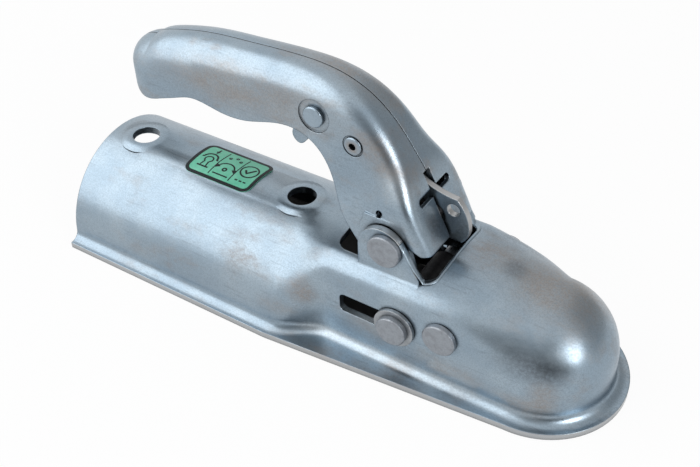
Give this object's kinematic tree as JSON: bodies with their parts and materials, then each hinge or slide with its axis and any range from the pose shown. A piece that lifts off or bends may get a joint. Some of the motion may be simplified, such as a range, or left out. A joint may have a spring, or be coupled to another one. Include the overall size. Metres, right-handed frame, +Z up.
{
  "type": "trailer coupling head",
  "caption": "Pressed-steel coupling head for a light trailer, with a lifting handle, safety catch, slide pin and a jaw that closes round the tow ball.",
  "frame": {"origin": "middle of the length, in the middle plane, at the underside of the flange", "axes": "+X towards the nose, +Z up, +Y towards the right side seen from the front"},
  "size_m": [0.2506, 0.0868, 0.1119],
  "materials": {
    "zinc_sheet": "bright zinc plating, satin",
    "pin_steel": "matt zinc plating",
    "jaw_iron": "as forged, zinc plated",
    "spring_steel": "bright drawn wire",
    "bush_plastic": "plain",
    "label_film": "printed film"
  },
  "bodies": {
    "housing": {"housing_shell": "zinc_sheet", "jaw_pin": "pin_steel", "instruction_label": "label_film", "jaw_bush_left": "bush_plastic", "jaw_bush_right": "bush_plastic"},
    "handle": {"handle_left": "zinc_sheet", "handle_right": "zinc_sheet", "handle_pin": "pin_steel", "catch_rivet": "pin_steel", "stop_rivet": "pin_steel", "pivot_spacer_left": "pin_steel", "pivot_spacer_right": "pin_steel", "catch_spring": "spring_steel"},
    "safety_catch": {"safety_catch": "zinc_sheet"},
    "slide": {"slide_pin": "pin_steel", "slide_washer_left": "pin_steel", "slide_washer_right": "pin_steel", "slide_roller": "pin_steel", "closing_spring_left": "spring_steel", "closing_spring_right": "spring_steel"},
    "jaw": {"ball_jaw": "jaw_iron"}
  },
  "joints": [
    {"name": "handle_lift", "type": "hinge", "parent": "housing", "child": "handle", "pos_m": [0.03215, 0, 0.0552], "axis": [0, 1, 0], "range_deg": [0, 37], "stiffness_Nm_per_rad": 1.5},
    {"name": "catch_squeeze", "type": "hinge", "parent": "handle", "child": "safety_catch", "pos_m": [0.01235, 0, 0.0896], "axis": [0, 1, 0], "range_deg": [0, 14]},
    {"name": "slide_travel", "type": "slide", "parent": "housing", "child": "slide", "axis": [-1, 0, 0], "range_m": [0, 0.0209], "deforming": ["closing_spring_left", "closing_spring_right"]},
    {"name": "jaw_swing", "type": "hinge", "parent": "housing", "child": "jaw", "pos_m": [0.06005, 0, 0.0279], "axis": [0, 1, 0], "range_deg": [0, 20]}
  ],
  "couplings": [
    {"joint": "catch_squeeze", "follows": "handle_lift", "ratio": 0.3783},
    {"joint": "slide_travel", "follows": "handle_lift", "m_per_rad": 0.03236},
    {"joint": "jaw_swing", "follows": "handle_lift", "ratio": 0.5405}
  ]
}
